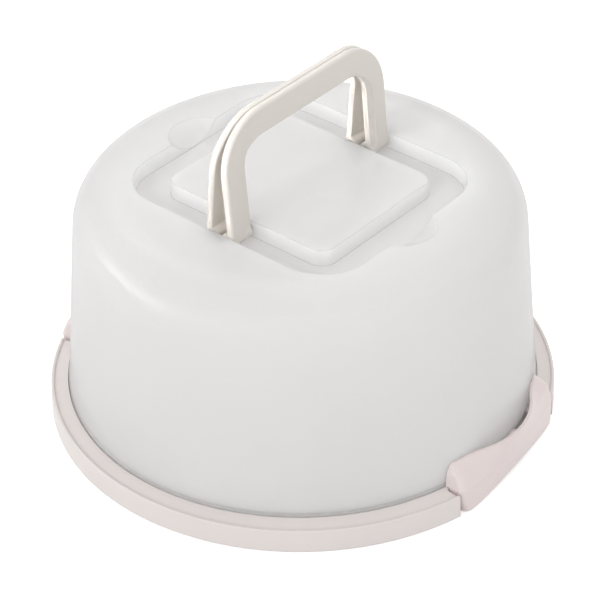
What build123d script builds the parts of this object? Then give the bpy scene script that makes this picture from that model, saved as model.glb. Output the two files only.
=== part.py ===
from build123d import *
from math import asin, cos, degrees, radians, sin, sqrt, tan
import os

# Cake carrier: a round tray, a drafted dome lid that lifts straight off it, two snap latches hinged low
# in the tray's rim, and a carrying handle of two bails that fold outward into a channel in the lid's top.
# Millimetres. +Z is up, the origin is the centre of the tray's underside, the handle runs along X, and
# the latches face -Y (front) and +Y (back), turned a little because a round lid goes down at any angle.

# ---- tray ----
tray_radius = 150.0
rim_height = 14.3
rim_draft = 0.4            # how far the rim leans in, bottom to top
rim_chamfer = 0.6
tray_wall = 2.2
lip_width = 2.0            # raised lip round the rim's top edge
lip_step = 1.0             # the shelf starts this far below the lip
shelf_width = 11.0         # tray's edge to the lid's foot
shelf_rise = 1.5           # the shelf's inner edge above the rim's top
seat_depth = 2.4           # groove that the lid's foot stands in
seat_gap = 0.4
guide_rise = 3.0           # ridge inside the groove, above the shelf's inner edge
guide_width = 7.0
guide_slope = 4.5
guide_chamfer = 1.0
floor_height = 8.0         # top of the floor that the cake stands on
foot_ring_inset = 5.5      # foot ring inside the bottom of the ridge's slope
foot_ring_width = 3.0
rib_count = 12
rib_width = 1.6
rib_lift = 1.0             # ribs stop this far above the table
hub_ring_radius = 40.0

# ---- lid ----
lid_wall = 2.0
bead_height = 4.6          # bead round the lid's foot
bead_step = 0.5            # how far the bead stands out from the wall above it
wall_draft = 4.65          # degrees
lid_top = 147.2            # height of the lid's top with the lid on the tray
shoulder_radius = 22.6     # shoulder, from the wall up
brow_radius = 38.0         # softer bend from the shoulder to the flat top
brow_turn = 36.0           # degrees of slope where the two bends meet

# ---- channel that the folded handle lies in ----
channel_depth = 9.5
channel_draft = 5.0        # degrees
channel_corner = 28.5
channel_side_gap = 1.5     # between a bail's leg and the channel's outer wall
channel_end_gap = 4.5      # between a folded grip and the channel's outer wall
plateau_side_gap = 2.7     # between the raised middle and the bails' legs
plateau_end_gap = 0.9      # between the raised middle and a folded grip
plateau_corner = 10.0
scoop_reach = 13.3         # finger scoop beyond the channel's outer wall
scoop_half_width = 19.2

# ---- handle: two bails ----
bail_half_width = 68.5
leg_width = 16.0
grip_width = 15.6
bail_thickness = 4.4
bail_height = 70.2         # pivot to the top of the grip
bail_outer_corner = 31.0
bail_inner_corner = 15.0
bail_round = 1.8           # round the outside, on the face that shows
bail_chamfer = 0.7         # round the outside, on the face that meets the other bail
rebate_width = 5.0         # shallow step beside the hand opening, that dies out under the grip
rebate_depth = 0.9
rebate_slope = 45.0        # degrees
rebate_drop = 0.3          # top of the step below the grip's underside
meet_height = 2.5          # the grips lie flat against each other over this much, at the top
grip_gap = 0.1             # each grip's flat stands this far from the meeting plane
pivot_spacing = 11.2       # between the two bails' pivots
pivot_drop = 4.2           # pivots below the lid's top
hub_radius = 4.6           # round foot of a leg, flush with the face that shows
hinge_pin_radius = 2.0
hinge_pin_play = 0.05
hinge_pin_grip = 2.5       # how far a pin goes into the walls on both sides of the channel
hinge_boss_wall = 2.2      # round the pin
hinge_boss_end = 1.5       # beyond the pin's outer end

# ---- latches ----
latch_turn = 7.2           # degrees
latch_wall = 1.8
latch_half_width = 52.6
latch_corner = 4.0
latch_gap = 0.3            # latch to the lid's foot and to the tray's recess
latch_lid_gap = 0.7        # latch's top edge to the lid's wall
latch_end_gap = 1.2
latch_table_gap = 0.15     # left under a latch as it swings
latch_axis_height = 7.0
latch_axis_inset = 4.8     # hinge line behind the bottom of the latch's face
latch_rod_radius = 1.0
latch_rod_play = 0.05
latch_lug_radius = 2.3
latch_lug_width = 8.0
latch_lug_place = 18.0
latch_knuckle_radius = 2.6
latch_knuckle_width = 7.0
latch_knuckle_gap = 0.4
catch_lift = 1.4           # catches above the top of the lid's bead
catch_thickness = 2.0
catch_width = 14.0
catch_spacing = 32.0
catch_gap = 0.6            # catches to the lid's bead
pull_depth = 8.6           # finger pull above the catches
recess_wall_gap = 2.0      # thickness of the tray's wall behind the latch

# A latch's outside, bottom to top. Each row is: how far up, from the latch's bottom (0) past the shelf (1)
# to the latch's top (2); how much narrower its half width is, in millimetres; and how far in from the
# tray's edge the face lies at its ends, at half way and in the middle, in shares of the shelf's width.
# The upper rows draw in over the lid at the ends and stand out in the middle as a finger pull.
latch_rows = [
    (0.0, 3.2, 0.00, 0.22, 0.42),
    (0.5, 1.2, 0.00, 0.18, 0.34),
    (1.0, 0.0, 0.02, 0.20, 0.27),
    (1.6, 1.0, 0.33, 0.38, 0.21),
    (2.0, 4.0, 0.96, 0.645, 0.18),
]
latch_halfway = 0.55       # where "half way" is, as a share of the half width

# ---- worked out: tray and lid ----
floor_up = (Align.CENTER, Align.CENTER, Align.MIN)
dome_foot_radius = tray_radius - shelf_width
shelf_inner_radius = dome_foot_radius + seat_gap
shelf_inner_height = rim_height + shelf_rise
seat_height = shelf_inner_height - seat_depth
guide_top = shelf_inner_height + guide_rise
bead_top = seat_height + bead_height
wall_slope = tan(radians(wall_draft))


def wall_radius(height):
    """The outer radius of the lid's wall at a height."""
    return dome_foot_radius - bead_step - (height - bead_top) * wall_slope


guide_outer_radius = wall_radius(guide_top) - lid_wall - seat_gap
guide_inner_radius = guide_outer_radius - guide_width
foot_ring_radius = guide_inner_radius - guide_slope - foot_ring_inset

# ---- worked out: lid's shoulder ----
draft_angle = radians(wall_draft)
brow_angle = radians(brow_turn)
brow_centre_height = lid_top - brow_radius
shoulder_shift = (brow_radius - shoulder_radius) * sin(brow_angle)
shoulder_centre_height = brow_centre_height + (brow_radius - shoulder_radius) * cos(brow_angle)
shoulder_foot_height = shoulder_centre_height + shoulder_radius * sin(draft_angle)
flat_radius = wall_radius(shoulder_foot_height) - shoulder_radius * cos(draft_angle) - shoulder_shift

# ---- worked out: channel and handle ----
channel_floor = lid_top - channel_depth
pivot_height = lid_top - pivot_drop
pivot_out = pivot_spacing / 2
bail_lean = degrees(asin((pivot_out + hub_radius - bail_thickness) / (bail_height - meet_height)))
leg_inner = bail_half_width - leg_width
channel_half_x = bail_half_width + channel_side_gap
channel_half_y = pivot_out + bail_height + channel_end_gap
channel_run = channel_depth * tan(radians(channel_draft))
plateau_half_x = leg_inner - plateau_side_gap
plateau_half_y = pivot_out + bail_height - grip_width - plateau_end_gap
pin_start = plateau_half_x - channel_run - hinge_pin_grip
pin_end = channel_half_x + hinge_pin_grip
boss_radius = hinge_pin_radius + hinge_boss_wall

# ---- worked out: latches ----
recess_radius = shelf_inner_radius + recess_wall_gap
latch_inner_radius = dome_foot_radius + latch_gap
catch_height = bead_top + catch_lift
latch_height = catch_height + catch_thickness + pull_depth
latch_axis_out = tray_radius - latch_rows[0][-1] * shelf_width - latch_axis_inset
latch_bottom = latch_table_gap
latch_rod_half = latch_lug_place + latch_lug_width / 2 + latch_knuckle_gap + latch_knuckle_width
notch_half_width = latch_half_width + latch_end_gap
notch_back = latch_axis_out - latch_axis_height - latch_gap
notch_ceiling = latch_axis_height + latch_knuckle_radius + latch_gap


def lathe(points):
    """A solid turned about Z from (radius, height) points."""
    return revolve(Plane.XZ * make_face(Polyline(*points, close=True)), Axis.Z)


def bar_x(radius, start, end, y, z):
    """A round bar along X."""
    return Pos((start + end) / 2, y, z) * Rot(0, 90, 0) * Cylinder(radius, end - start)


def box(x0, x1, y0, y1, z0, z1):
    """A box given by its faces."""
    return Pos((x0 + x1) / 2, (y0 + y1) / 2, (z0 + z1) / 2) * Box(x1 - x0, y1 - y0, z1 - z0)


def latch_place(side):
    """Latch shapes are drawn facing +Y; side is +1 for the back latch and -1 for the front one."""
    return Rot(0, 0, latch_turn if side > 0 else latch_turn + 180)


# ---- tray ----
def notch(grow):
    """What the tray leaves free for a latch, grown by a wall all round."""
    half = notch_half_width + grow
    beyond = 2 * tray_radius
    beside_lid = box(-half, half, 0, beyond, -beyond, beyond) - Cylinder(recess_radius - grow, 2 * beyond)
    below_shelf = box(-half, half, notch_back - grow, beyond, -beyond, notch_ceiling + grow)
    return beside_lid + below_shelf


def latch_lugs():
    """Two eyes under the tray's rim that carry a latch's hinge rod."""
    lugs = []
    for place in (-latch_lug_place, latch_lug_place):
        start = place - latch_lug_width / 2
        end = place + latch_lug_width / 2
        eye = bar_x(latch_lug_radius, start, end, latch_axis_out, latch_axis_height)
        neck = box(start, end, notch_back - tray_wall / 2, latch_axis_out,
                   latch_axis_height - latch_rod_radius, notch_ceiling + tray_wall / 2)
        hole = bar_x(latch_rod_radius + latch_rod_play, start, end, latch_axis_out, latch_axis_height)
        lugs.append(eye + neck - hole)
    return lugs


def foot_ring(radius, bottom):
    outer = Cylinder(radius + foot_ring_width / 2, floor_height - bottom, align=floor_up)
    inner = Cylinder(radius - foot_ring_width / 2, floor_height - bottom, align=floor_up)
    return Pos(0, 0, bottom) * (outer - inner)


def make_tray():
    top = lathe([
        (0, 0),
        (tray_radius, 0),
        (tray_radius - rim_draft, rim_height - rim_chamfer),
        (tray_radius - rim_draft - rim_chamfer, rim_height),
        (tray_radius - lip_width, rim_height),
        (tray_radius - lip_width - rim_chamfer, rim_height - lip_step),
        (shelf_inner_radius, shelf_inner_height),
        (shelf_inner_radius, seat_height),
        (guide_outer_radius, seat_height),
        (guide_outer_radius, guide_top - guide_chamfer),
        (guide_outer_radius - guide_chamfer, guide_top),
        (guide_inner_radius + guide_chamfer, guide_top),
        (guide_inner_radius, guide_top - guide_chamfer),
        (guide_inner_radius - guide_slope, floor_height),
        (0, floor_height),
    ])
    under = lathe([
        (0, -1),
        (tray_radius - tray_wall, -1),
        (tray_radius - tray_wall - rim_draft, rim_height - lip_step - tray_wall),
        (shelf_inner_radius + tray_wall, shelf_inner_height - tray_wall),
        (shelf_inner_radius + tray_wall, seat_height - tray_wall),
        (guide_outer_radius - tray_wall, seat_height - tray_wall),
        (guide_outer_radius - tray_wall, guide_top - tray_wall),
        (guide_inner_radius + tray_wall, guide_top - tray_wall),
        (guide_inner_radius + tray_wall - guide_slope, floor_height - tray_wall),
        (0, floor_height - tray_wall),
    ])
    body = top
    hollow = under
    for side in (1, -1):
        body -= latch_place(side) * notch(0)
        hollow -= latch_place(side) * notch(tray_wall)
    body -= hollow
    body += foot_ring(foot_ring_radius, 0)
    body += foot_ring(hub_ring_radius, rib_lift)
    spoke = box(hub_ring_radius, foot_ring_radius, -rib_width / 2, rib_width / 2,
                rib_lift, floor_height - tray_wall / 2)
    for index in range(rib_count):
        body += Rot(0, 0, 360 / rib_count * (index + 0.5)) * spoke
    for side in (1, -1):
        for lug in latch_lugs():
            body += latch_place(side) * lug
    return body


# ---- lid ----
def dome(inset, bottom):
    """The lid's outer form without its bead, or its inside when inset by a wall."""
    brow = brow_radius - inset
    shoulder = shoulder_radius - inset
    flat_end = (flat_radius, lid_top - inset)
    brow_end = (flat_radius + brow * sin(brow_angle), brow_centre_height + brow * cos(brow_angle))
    shoulder_end = (flat_radius + shoulder_shift + shoulder * cos(draft_angle),
                    shoulder_centre_height + shoulder * sin(draft_angle))
    foot = (wall_radius(bottom) - inset / cos(draft_angle), bottom)
    flat = Line((0, lid_top - inset), flat_end)
    upper_bend = TangentArc(flat_end, brow_end, tangent=(1, 0))
    lower_bend = TangentArc(brow_end, shoulder_end, tangent=upper_bend % 1)
    rest = Polyline(shoulder_end, foot, (0, bottom), (0, lid_top - inset))
    return revolve(Plane.XZ * make_face(Wire([flat, upper_bend, lower_bend, *rest.edges()])), Axis.Z)


def bead():
    return lathe([
        (dome_foot_radius - lid_wall, seat_height),
        (dome_foot_radius, seat_height),
        (dome_foot_radius, bead_top - bead_step),
        (wall_radius(bead_top), bead_top),
        (dome_foot_radius - lid_wall, bead_top),
    ])


def channel(grow):
    """The channel's form; grown by a wall it is what the lid's inside stays clear of."""
    depth = channel_depth + grow
    half_x = channel_half_x - channel_run + grow
    half_y = channel_half_y - channel_run + grow
    base = Pos(0, 0, channel_floor - grow)
    outline = RectangleRounded(2 * half_x, 2 * half_y, channel_corner + grow)
    plateau = RectangleRounded(2 * (plateau_half_x - grow), 2 * (plateau_half_y - grow), plateau_corner - grow)
    outer = extrude(base * outline, amount=depth, taper=-channel_draft)
    inner = extrude(base * plateau, amount=depth, taper=channel_draft)
    form = outer - inner
    for side in (1, -1):
        form += scoop(side, grow)
    return form


def scoop(side, grow):
    """A dished finger scoop at the middle of a channel's end, under the folded grip."""
    centre_back = (scoop_half_width ** 2 - scoop_reach ** 2) / (2 * scoop_reach)
    rim_radius = centre_back + scoop_reach
    sphere_radius = (rim_radius ** 2 + channel_depth ** 2) / (2 * channel_depth)
    sphere_height = channel_floor + sphere_radius
    dish = Pos(0, side * (channel_half_y - centre_back), sphere_height) * Sphere(sphere_radius + grow)
    middle = box(-channel_half_x, channel_half_x, -plateau_half_y, plateau_half_y, 0, 2 * lid_top)
    return dish - middle


def make_lid():
    """The lid; each hinge pin goes in from under the raised middle and ends blind in the outer wall."""
    inside = dome(lid_wall, 0) - channel(lid_wall)
    outside = dome(0, seat_height) + bead() - channel(0)
    for turn in (0, 180):
        for side in (1, -1):
            y = side * pivot_out
            inner_boss = bar_x(boss_radius, pin_start, plateau_half_x, y, pivot_height)
            outer_boss = bar_x(boss_radius, channel_half_x - channel_run, pin_end + hinge_boss_end,
                               y, pivot_height)
            inside -= Rot(0, 0, turn) * (inner_boss + outer_boss)
            outside -= Rot(0, 0, turn) * bar_x(hinge_pin_radius, pin_start, pin_end, y, pivot_height)
    return outside - inside


# ---- handle ----
def bail_outline():
    """The bail's outside and its hand opening, standing on the pivot line."""
    inner_height = bail_height - grip_width
    outer = Pos(0, bail_height / 2) * Rectangle(2 * bail_half_width, bail_height)
    inner = Pos(0, inner_height / 2) * Rectangle(2 * leg_inner, inner_height)
    outer = fillet(outer.vertices().group_by(Axis.Y)[-1], bail_outer_corner)
    inner = fillet(inner.vertices().group_by(Axis.Y)[-1], bail_inner_corner)
    return outer - inner


def rebate():
    """The shallow step beside the hand opening; its ends die out under the grip."""
    half = leg_inner + rebate_width
    height = bail_height - grip_width - rebate_drop
    outline = Pos(0, height / 2) * Rectangle(2 * half, height)
    outline = fillet(outline.vertices().group_by(Axis.Y)[-1], bail_inner_corner + rebate_width)
    return Pos(0, bail_thickness / 2, 0) * extrude(Plane.XZ * outline, amount=rebate_depth, taper=rebate_slope)


def on_outside(edge):
    """Whether an edge of the plain bail runs round its outside, clear of the hand opening and the feet."""
    place = edge.center()
    beside = abs(place.X) > leg_inner + leg_width / 4
    above = place.Z > bail_height - grip_width * 3 / 4
    return place.Z > hub_radius and (beside or above)


def make_bail():
    """The back bail, upright, leaning in so that its grip meets the other's at the top."""
    body = extrude(Plane.XZ * bail_outline(), amount=bail_thickness / 2, both=True)
    shows = body.faces().sort_by(Axis.Y)[-1]
    body = fillet(shows.edges().filter_by(on_outside), bail_round)
    meets = body.faces().sort_by(Axis.Y)[0]
    body = chamfer(meets.edges().filter_by(on_outside), bail_chamfer)
    body = Pos(0, hub_radius - bail_thickness / 2, 0) * (body - rebate())
    for side in (1, -1):
        start = leg_inner if side > 0 else -bail_half_width
        body += bar_x(hub_radius, start, start + leg_width, 0, 0)
    body -= bar_x(hinge_pin_radius + hinge_pin_play, -bail_half_width, bail_half_width, 0, 0)
    body = Pos(0, pivot_out, pivot_height) * Rot(bail_lean, 0, 0) * body
    return body - box(-bail_half_width, bail_half_width, -bail_height, grip_gap,
                      pivot_height, pivot_height + 2 * bail_height)


def make_hinge_pin(x_side, y_side):
    pin = bar_x(hinge_pin_radius, pin_start, pin_end, x_side * y_side * pivot_out, pivot_height)
    return Rot(0, 0, 0 if x_side > 0 else 180) * pin


# ---- latch ----
def latch_outline(row, inset, back):
    """One level of the latch's outside, moved in by a wall, with straight sides running back to y = back."""
    level, narrower, *shares = row
    if level < 1:
        height = latch_bottom + level * (shelf_inner_height - latch_bottom)
    else:
        height = shelf_inner_height + (level - 1) * (latch_height - shelf_inner_height)
    half = latch_half_width - narrower
    quarter = half * latch_halfway
    end_out, quarter_out, middle_out = (
        sqrt((tray_radius - share * shelf_width) ** 2 - across ** 2) - inset
        for share, across in zip(shares, (half - latch_corner, quarter, 0)))
    half -= inset
    corner = latch_corner - inset
    middle = ThreePointArc((-quarter, quarter_out), (0, middle_out), (quarter, quarter_out))
    edges = [middle]
    for side, heading in ((1, middle % 1), (-1, -(middle % 0))):
        ear = TangentArc((side * quarter, quarter_out), (side * (half - corner), end_out), tangent=heading)
        end = TangentArc(ear @ 1, (side * half, end_out - corner), tangent=ear % 1)
        edges += [ear, end, Line(end @ 1, (side * half, back))]
    edges.append(Line((half, back), (-half, back)))
    return Pos(0, 0, height - inset) * make_face(Wire(edges))


def swing_room():
    """What a latch leaves free below the shelf, so that the toes of its ends swing past the tray's recess."""
    end_inside = latch_half_width - latch_rows[0][1] - latch_wall
    recess_out = min(notch_back, sqrt(recess_radius ** 2 - end_inside ** 2))
    swing_radius = latch_axis_out - recess_out - latch_gap
    toe_out = latch_axis_out - sqrt(swing_radius ** 2 - (latch_axis_height - latch_bottom) ** 2)
    toe_radius = sqrt(toe_out ** 2 + end_inside ** 2)
    top = shelf_inner_height + latch_gap
    return lathe([
        (0, 0),
        (toe_radius, 0),
        (toe_radius, latch_bottom),
        (recess_radius + latch_gap, latch_axis_height),
        (recess_radius + latch_gap, top),
        (0, top),
    ])


def lid_room():
    """What a closed latch leaves free for the lid: its bead, and above that its leaning wall."""
    top = 2 * latch_height
    return lathe([
        (0, 0),
        (latch_inner_radius, 0),
        (latch_inner_radius, bead_top),
        (wall_radius(top) + latch_lid_gap, top),
        (0, top),
    ])


def table_room():
    """What a latch leaves free at its lower front edge, so that it clears the table as it swings."""
    half = latch_half_width + latch_end_gap
    swing = bar_x(latch_axis_height - latch_table_gap, -half, half, latch_axis_out, latch_axis_height)
    return box(-half, half, latch_axis_out, 2 * tray_radius, -tray_radius, latch_axis_height) - swing


def make_latch():
    """The back latch, drawn facing +Y."""
    back = latch_axis_out - latch_height
    behind = back - latch_wall
    form = loft([latch_outline(row, 0, back) for row in latch_rows], ruled=True)
    form = form - lid_room() - table_room()
    inner_levels = [latch_outline(row, latch_wall, behind) for row in latch_rows]
    cavity = loft(inner_levels, ruled=True)
    cavity += extrude(inner_levels[0], amount=-latch_bottom)
    cavity += extrude(inner_levels[-1], amount=pull_depth)
    body = form - cavity - swing_room()
    catches = box(-latch_half_width, latch_half_width, 0, tray_radius,
                  catch_height, catch_height + catch_thickness)
    catches -= Cylinder(dome_foot_radius + catch_gap, 2 * tray_radius)
    for place in (-catch_spacing, 0, catch_spacing):
        start = place - catch_width / 2
        body += catches & form & box(start, start + catch_width, 0, tray_radius, 0, latch_height)
    for side in (1, -1):
        for offset in (1, -1):
            middle = side * latch_lug_place + offset * (
                latch_lug_width / 2 + latch_knuckle_gap + latch_knuckle_width / 2)
            start = middle - latch_knuckle_width / 2
            end = middle + latch_knuckle_width / 2
            knuckle = bar_x(latch_knuckle_radius, start, end, latch_axis_out, latch_axis_height)
            knuckle += box(start, end, latch_axis_out, tray_radius,
                           latch_axis_height - latch_knuckle_radius, latch_axis_height + latch_knuckle_radius)
            body += knuckle & form
    return body - make_latch_rod()


def make_latch_rod():
    return bar_x(latch_rod_radius, -latch_rod_half, latch_rod_half, latch_axis_out, latch_axis_height)


# ---- write the parts ----
bail = make_bail()
latch = make_latch()
rod = make_latch_rod()
parts = {
    "tray": make_tray(),
    "lid": make_lid(),
    "handle_back": bail,
    "handle_front": Rot(0, 0, 180) * bail,
}
for y_name, y_side in (("front", -1), ("back", 1)):
    for x_name, x_side in (("left", -1), ("right", 1)):
        parts[f"handle_{y_name}_pin_{x_name}"] = make_hinge_pin(x_side, y_side)
    parts[f"latch_{y_name}"] = latch_place(y_side) * latch
    parts[f"latch_{y_name}_rod"] = latch_place(y_side) * rod

os.makedirs("parts", exist_ok=True)
for name, shape in parts.items():
    export_step(shape, f"parts/{name}.step")
print(f"bail lean {bail_lean:.3f} degrees, latch axis {latch_axis_out:.3f} out, pivot height {pivot_height:.3f}")
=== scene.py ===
import math

import bpy
from mathutils import Matrix, Vector

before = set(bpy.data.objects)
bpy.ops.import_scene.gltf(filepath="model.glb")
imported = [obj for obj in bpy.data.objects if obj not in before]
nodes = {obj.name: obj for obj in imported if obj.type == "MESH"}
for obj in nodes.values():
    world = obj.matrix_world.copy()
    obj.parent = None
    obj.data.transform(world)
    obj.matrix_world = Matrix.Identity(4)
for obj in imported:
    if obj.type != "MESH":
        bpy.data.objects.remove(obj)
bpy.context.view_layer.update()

# Cake carrier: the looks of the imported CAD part, whose meshes stay as they are. Metres, in the CAD
# frame: +Z up, origin in the middle of the tray's underside, handle along X.

scene = bpy.context.scene


# ---- camera ----

# Fitted to the outlines of the tray, lid and handle in the photograph.
PICTURE = 600                       # pixels across
SENSOR = 36.0                       # millimetres
FOCAL_PIXELS = 2475.6
CAMERA_PLACE = Vector((-0.8904, -0.7640, 0.9124))
CAMERA_HEADING = (0.7589, 0.6512)   # horizontal direction of view
CAMERA_DOWN = math.radians(35.91)
CAMERA_ROLL = math.radians(-0.88)
CENTRE_SHIFT = -1.5 / PICTURE       # share of the picture's width
CLIP_NEAR, CLIP_FAR = 0.05, 50.0


def make_camera():
    data = bpy.data.cameras.new("camera")
    camera = bpy.data.objects.new("camera", data)
    scene.collection.objects.link(camera)
    east, north = CAMERA_HEADING
    level = math.cos(CAMERA_DOWN)
    look = Vector((east * level, north * level, -math.sin(CAMERA_DOWN)))
    look.normalize()
    right = look.cross(Vector((0, 0, 1))).normalized()
    up = right.cross(look)
    cosine, sine = math.cos(CAMERA_ROLL), math.sin(CAMERA_ROLL)
    right, up = right * cosine + up * sine, up * cosine - right * sine
    turn = Matrix((right, up, -look)).transposed()
    camera.matrix_world = Matrix.Translation(CAMERA_PLACE) @ turn.to_4x4()
    data.sensor_width = SENSOR
    data.lens = FOCAL_PIXELS / PICTURE * SENSOR
    data.shift_x = CENTRE_SHIFT
    data.clip_start, data.clip_end = CLIP_NEAR, CLIP_FAR
    scene.camera = camera


make_camera()


# ---- node helpers ----

# The colour sockets of a Mix node, which has a set of its own for each kind of data.
MIX_FACTOR, MIX_A, MIX_B, MIX_RESULT = 0, 6, 7, 2

# How far a rounded normal turns from the plain one, as their dot product: at the first an edge is full,
# and from the second on there is none.
EDGE_FULL, EDGE_NONE = 0.90, 0.99


class Nodes:
    """A material's node tree, with short calls for the nodes used here."""

    def __init__(self, name):
        self.material = bpy.data.materials.new(name)
        self.material.use_nodes = True
        self.tree = self.material.node_tree
        self.tree.nodes.clear()

    def add(self, kind, **settings):
        node = self.tree.nodes.new(kind)
        for key, value in settings.items():
            setattr(node, key, value)
        return node

    def link(self, source, target):
        self.tree.links.new(source, target)

    def object_place(self):
        return self.add("ShaderNodeTexCoord").outputs["Object"]

    def noise(self, where, scale, detail, roughness):
        node = self.add("ShaderNodeTexNoise")
        node.inputs["Scale"].default_value = scale
        node.inputs["Detail"].default_value = detail
        node.inputs["Roughness"].default_value = roughness
        self.link(where, node.inputs["Vector"])
        return node.outputs["Fac"]

    def remap(self, value, low, high, new_low, new_high):
        """The value carried over from one range to another, and held inside it."""
        node = self.add("ShaderNodeMapRange", clamp=True)
        node.inputs["From Min"].default_value = low
        node.inputs["From Max"].default_value = high
        node.inputs["To Min"].default_value = new_low
        node.inputs["To Max"].default_value = new_high
        self.link(value, node.inputs["Value"])
        return node.outputs["Result"]

    def math(self, operation, a, b):
        node = self.add("ShaderNodeMath", operation=operation)
        for socket, value in zip(node.inputs, (a, b)):
            if isinstance(value, (int, float)):
                socket.default_value = value
            else:
                self.link(value, socket)
        return node.outputs["Value"]

    def mix(self, share, a, b):
        node = self.add("ShaderNodeMix", data_type="RGBA", blend_type="MIX")
        for index, value in ((MIX_FACTOR, share), (MIX_A, a), (MIX_B, b)):
            socket = node.inputs[index]
            if isinstance(value, (int, float, tuple)):
                socket.default_value = value
            else:
                self.link(value, socket)
        return node.outputs[MIX_RESULT]

    def bump(self, height, strength, distance, normal=None):
        node = self.add("ShaderNodeBump")
        node.inputs["Strength"].default_value = strength
        node.inputs["Distance"].default_value = distance
        self.link(height, node.inputs["Height"])
        if normal is not None:
            self.link(normal, node.inputs["Normal"])
        return node.outputs["Normal"]

    def edges(self, radius, samples, most):
        """The normal rounded at the edges, and how much of an edge each place is, from 0 to the most given."""
        rounded = self.add("ShaderNodeBevel", samples=samples)
        rounded.inputs["Radius"].default_value = radius
        geometry = self.add("ShaderNodeNewGeometry")
        facing = self.add("ShaderNodeVectorMath", operation="DOT_PRODUCT")
        self.link(rounded.outputs["Normal"], facing.inputs[0])
        self.link(geometry.outputs["Normal"], facing.inputs[1])
        edge = self.remap(facing.outputs["Value"], EDGE_FULL, EDGE_NONE, most, 0.0)
        return rounded.outputs["Normal"], edge

    def finish(self, shader):
        out = self.add("ShaderNodeOutputMaterial")
        self.link(shader, out.inputs["Surface"])
        return self.material


def srgb(red, green, blue):
    """A colour given as it looks in a picture, 0 to 255, as the linear colour that a shader takes."""
    def linear(value):
        value = value / 255
        return value / 12.92 if value <= 0.04045 else ((value + 0.055) / 1.055) ** 2.4
    return (linear(red), linear(green), linear(blue), 1.0)


# ---- materials ----

PLASTIC_IOR = 1.49
ROUGHNESS_VARIES = 0.05         # each way, on the moulded plastics
DOME_ROUGHNESS = 0.30, 0.38     # lower than 0.28 or so comes out of the denoiser in blotches
DOME_SOAKED = 0.72              # share of the light that goes through the lid's wall


def moulded_plastic(name, colour, shade, wear_and_highlight, roughness):
    """Satin moulded plastic: faint flow marks in its colour, fine grain, edges a little round, and lighter at
    the edges with rubbed wear and a painted highlight.
    """
    n = Nodes(name)
    place = n.object_place()
    shader = n.add("ShaderNodeBsdfPrincipled")
    normal, edge = n.edges(radius=0.0006, samples=6, most=0.5)
    flow = n.remap(n.noise(place, scale=14.0, detail=4.0, roughness=0.5), 0.35, 0.65, 0.0, 0.55)
    speck = n.remap(n.noise(place, scale=900.0, detail=2.0, roughness=0.6), 0.3, 0.7, 0.0, 0.12)
    base = n.mix(flow, colour, shade)
    base = n.mix(speck, base, shade)
    # Lighter towards the edges: partly rubbed wear, partly a painted edge highlight.
    n.link(n.mix(edge, base, wear_and_highlight), shader.inputs["Base Color"])
    worn = n.noise(place, scale=45.0, detail=3.0, roughness=0.6)
    rough = n.remap(worn, 0.3, 0.7, roughness - ROUGHNESS_VARIES, roughness + ROUGHNESS_VARIES)
    n.link(rough, shader.inputs["Roughness"])
    grain = n.noise(place, scale=2600.0, detail=2.0, roughness=0.6)
    sink = n.math("MULTIPLY", n.noise(place, scale=60.0, detail=2.0, roughness=0.5), 2.0)
    height = n.math("ADD", grain, sink)
    n.link(n.bump(height, strength=0.24, distance=0.00012, normal=normal), shader.inputs["Normal"])
    shader.inputs["IOR"].default_value = PLASTIC_IOR
    return n.finish(shader.outputs["BSDF"])


def frosted_dome(name):
    """The lid: milky plastic that light soaks through, glossy on top, with a painted shade line where it turns
    sharply.
    """
    n = Nodes(name)
    place = n.object_place()
    surface = n.add("ShaderNodeBsdfPrincipled")
    cloud = n.remap(n.noise(place, scale=9.0, detail=4.0, roughness=0.5), 0.35, 0.65, 0.0, 1.0)
    milk = n.mix(cloud, srgb(251, 251, 251), srgb(249, 249, 249))
    edge = n.edges(radius=0.0007, samples=8, most=0.75)[1]
    # A painted shade line along the edges and creases, in a darker grey.
    base = n.mix(edge, milk, srgb(205, 204, 203))
    n.link(base, surface.inputs["Base Color"])
    frost = n.noise(place, scale=30.0, detail=3.0, roughness=0.6)
    n.link(n.remap(frost, 0.3, 0.7, *DOME_ROUGHNESS), surface.inputs["Roughness"])
    grain = n.noise(place, scale=1500.0, detail=2.0, roughness=0.5)
    n.link(n.bump(grain, strength=0.1, distance=0.00003), surface.inputs["Normal"])
    surface.inputs["IOR"].default_value = PLASTIC_IOR
    surface.inputs["Coat Weight"].default_value = 1.0
    surface.inputs["Coat Roughness"].default_value = 0.08
    soaked = n.add("ShaderNodeBsdfTranslucent")
    n.link(base, soaked.inputs["Color"])
    both = n.add("ShaderNodeMixShader")
    both.inputs[0].default_value = DOME_SOAKED
    n.link(surface.outputs["BSDF"], both.inputs[1])
    n.link(soaked.outputs["BSDF"], both.inputs[2])
    return n.finish(both.outputs["Shader"])


def drawn_wire(name):
    """The pins and rods: steel wire with fine lines along its length."""
    n = Nodes(name)
    stretch = n.add("ShaderNodeMapping")
    stretch.inputs["Scale"].default_value = (40.0, 2500.0, 2500.0)
    n.link(n.object_place(), stretch.inputs["Vector"])
    lines = n.noise(stretch.outputs["Vector"], scale=1.0, detail=2.0, roughness=0.6)
    shader = n.add("ShaderNodeBsdfPrincipled")
    n.link(n.mix(lines, srgb(176, 176, 178), srgb(206, 206, 208)), shader.inputs["Base Color"])
    n.link(n.remap(lines, 0.3, 0.7, 0.30, 0.44), shader.inputs["Roughness"])
    n.link(n.bump(lines, strength=0.2, distance=0.00002), shader.inputs["Normal"])
    shader.inputs["Metallic"].default_value = 1.0
    return n.finish(shader.outputs["BSDF"])
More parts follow.
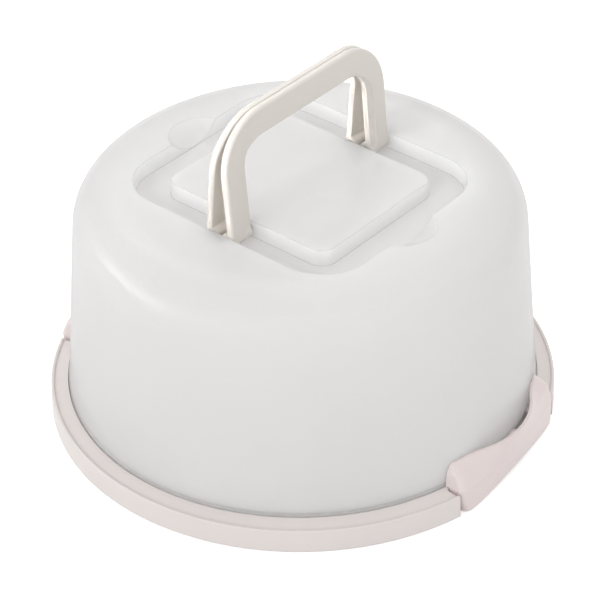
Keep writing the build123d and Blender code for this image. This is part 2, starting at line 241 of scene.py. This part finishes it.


# Each moulded plastic has its colour, a darker one for flow marks and grain, and a lighter one for edges,
# which is rubbed wear and a painted highlight.
tray_look = moulded_plastic(
    "tray_plastic", srgb(228, 221, 218), srgb(223, 215, 212), srgb(236, 231, 228), roughness=0.42)
latch_look = moulded_plastic(
    "latch_plastic", srgb(230, 218, 216), srgb(225, 212, 210), srgb(239, 228, 226), roughness=0.40)
handle_look = moulded_plastic(
    "handle_plastic", srgb(219, 214, 207), srgb(214, 209, 202), srgb(226, 221, 214), roughness=0.38)
lid_look = frosted_dome("lid_plastic")
wire_look = drawn_wire("pin_steel")


def look_of(name):
    if name == "tray":
        return tray_look
    if name == "lid":
        return lid_look
    if name.endswith("rod") or "_pin_" in name:
        return wire_look
    return latch_look if name.startswith("latch") else handle_look


for name, node in nodes.items():
    node.data.materials.clear()
    node.data.materials.append(look_of(name))
    for polygon in node.data.polygons:
        polygon.material_index = 0


# ---- floor, background and light ----

FLOOR_HALF = 4.0
FLOOR_DROP = 0.0004      # just under the carrier, so that the two do not touch
FLOOR_GREY = 0.82
FLOOR_GLOW = 0.5         # only seen by the camera and in reflections, so that the floor looks white
WORLD_LEVEL = 0.94
WHITE = 1.0


def make_floor():
    """White paper that takes the carrier's shadow and looks as white as the background."""
    quarters = ((-1, -1), (1, -1), (1, 1), (-1, 1))
    corners = [(x * FLOOR_HALF, y * FLOOR_HALF, 0) for x, y in quarters]
    mesh = bpy.data.meshes.new("floor")
    mesh.from_pydata(corners, [], [(0, 1, 2, 3)])
    floor = bpy.data.objects.new("floor", mesh)
    scene.collection.objects.link(floor)
    floor.location.z = -FLOOR_DROP
    n = Nodes("floor_paper")
    path = n.add("ShaderNodeLightPath")
    seen = n.math("MAXIMUM", path.outputs["Is Camera Ray"], path.outputs["Is Glossy Ray"])
    matt = n.add("ShaderNodeBsdfDiffuse")
    matt.inputs["Color"].default_value = (FLOOR_GREY, FLOOR_GREY, FLOOR_GREY, 1.0)
    glow = n.add("ShaderNodeEmission")
    n.link(n.math("MULTIPLY", seen, FLOOR_GLOW), glow.inputs["Strength"])
    both = n.add("ShaderNodeAddShader")
    n.link(matt.outputs["BSDF"], both.inputs[0])
    n.link(glow.outputs["Emission"], both.inputs[1])
    mesh.materials.append(n.finish(both.outputs["Shader"]))


def make_world():
    """Even light from all round, and plain white where the camera looks past the floor."""
    world = bpy.data.worlds.new("studio")
    world.use_nodes = True
    tree = world.node_tree
    tree.nodes.clear()
    path = tree.nodes.new("ShaderNodeLightPath")
    mix = tree.nodes.new("ShaderNodeMixShader")
    tree.links.new(path.outputs["Is Camera Ray"], mix.inputs[0])
    for index, level in ((1, WORLD_LEVEL), (2, WHITE)):
        back = tree.nodes.new("ShaderNodeBackground")
        back.inputs["Color"].default_value = (1.0, 1.0, 1.0, 1.0)
        back.inputs["Strength"].default_value = level
        tree.links.new(back.outputs["Background"], mix.inputs[index])
    out = tree.nodes.new("ShaderNodeOutputWorld")
    tree.links.new(mix.outputs["Shader"], out.inputs["Surface"])
    scene.world = world


def soft_box(name, place, aim, size, watts, spread=180.0):
    """A rectangular lamp turned towards a point; a spread below 180 degrees narrows its beam."""
    data = bpy.data.lights.new(name, "AREA")
    data.shape = "RECTANGLE"
    data.size, data.size_y = size
    data.energy = watts
    data.spread = math.radians(spread)
    lamp = bpy.data.objects.new(name, data)
    scene.collection.objects.link(lamp)
    lamp.location = place
    lamp.rotation_euler = (Vector(aim) - Vector(place)).to_track_quat("-Z", "Y").to_euler()
    return lamp


def make_lamps():
    # The main light, from the left, and a weak one from behind and above.
    soft_box("key", (-2.1, 0.2, 0.8), aim=(0, 0, 0.1), size=(2.4, 1.5), watts=7.5)
    soft_box("back", (0.9, 0.9, 1.5), aim=(0, 0, 0.1), size=(1.4, 1.4), watts=3.0)
    # Two narrow beams from the left, over the lid's top and over the handle.
    rake = soft_box("rake", (-1.15, 0.1, 0.85), aim=(0, 0, 0.2), size=(0.3, 0.2), watts=0.075, spread=12.0)
    side = soft_box("side", (-1.15, 0.4, 0.36), aim=(0, 0, 0.19), size=(0.08, 0.08), watts=0.02, spread=7.0)
    for beam in (rake, side):
        beam.visible_glossy = False
    # Seen only as a reflection, the light band on the lid's left shoulder.
    sheen = soft_box("sheen", (-1.33, 1.33, 0.72), aim=(-0.12, 0, 0.13), size=(1.6, 0.5), watts=11.0)
    sheen.visible_diffuse = False
    sheen.visible_transmission = False


make_floor()
make_world()
make_lamps()

scene.view_settings.view_transform = "Standard"
